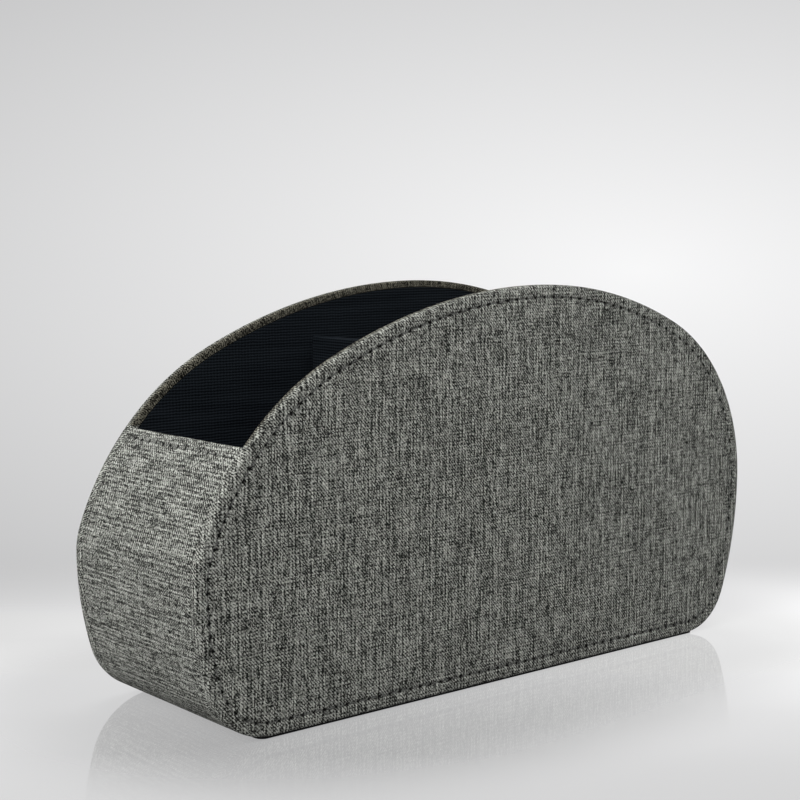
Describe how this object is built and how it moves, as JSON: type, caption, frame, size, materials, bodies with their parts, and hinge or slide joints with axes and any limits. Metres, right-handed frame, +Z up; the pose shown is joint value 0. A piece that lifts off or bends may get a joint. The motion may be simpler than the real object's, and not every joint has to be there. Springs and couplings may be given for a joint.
{
  "type": "remote control holder",
  "caption": "Freestanding holder for remote controls: two egg-shaped side panels covered in grey woven cloth, an open top, and a row of black lined pockets across the inside.",
  "frame": {"origin": "centre of the footprint, on the surface that the holder stands on", "axes": "+X along the holder from its low end to its high end, +Y across it from the front panel to the rear panel, +Z up"},
  "size_m": [0.24, 0.069, 0.13],
  "materials": {
    "grey_cloth": "matte heathered plain weave with slubs",
    "black_lining": "matte black fine ribbed lining",
    "base_cloth": "matte black felt",
    "board": "bare fibreboard"
  },
  "bodies": {
    "root": {"front_panel_board": "board", "front_panel_cover": "grey_cloth", "front_panel_lining": "black_lining", "rear_panel_board": "board", "rear_panel_cover": "grey_cloth", "rear_panel_lining": "black_lining", "low_end_board": "board", "floor_board": "board", "high_end_board": "board", "end_lining": "black_lining", "end_cover": "grey_cloth", "divider_board_1": "board", "divider_cover_1": "black_lining", "divider_board_2": "board", "divider_cover_2": "black_lining", "divider_board_3": "board", "divider_cover_3": "black_lining", "divider_board_4": "board", "divider_cover_4": "black_lining", "base_sheet": "base_cloth"}
  },
  "joints": []
}
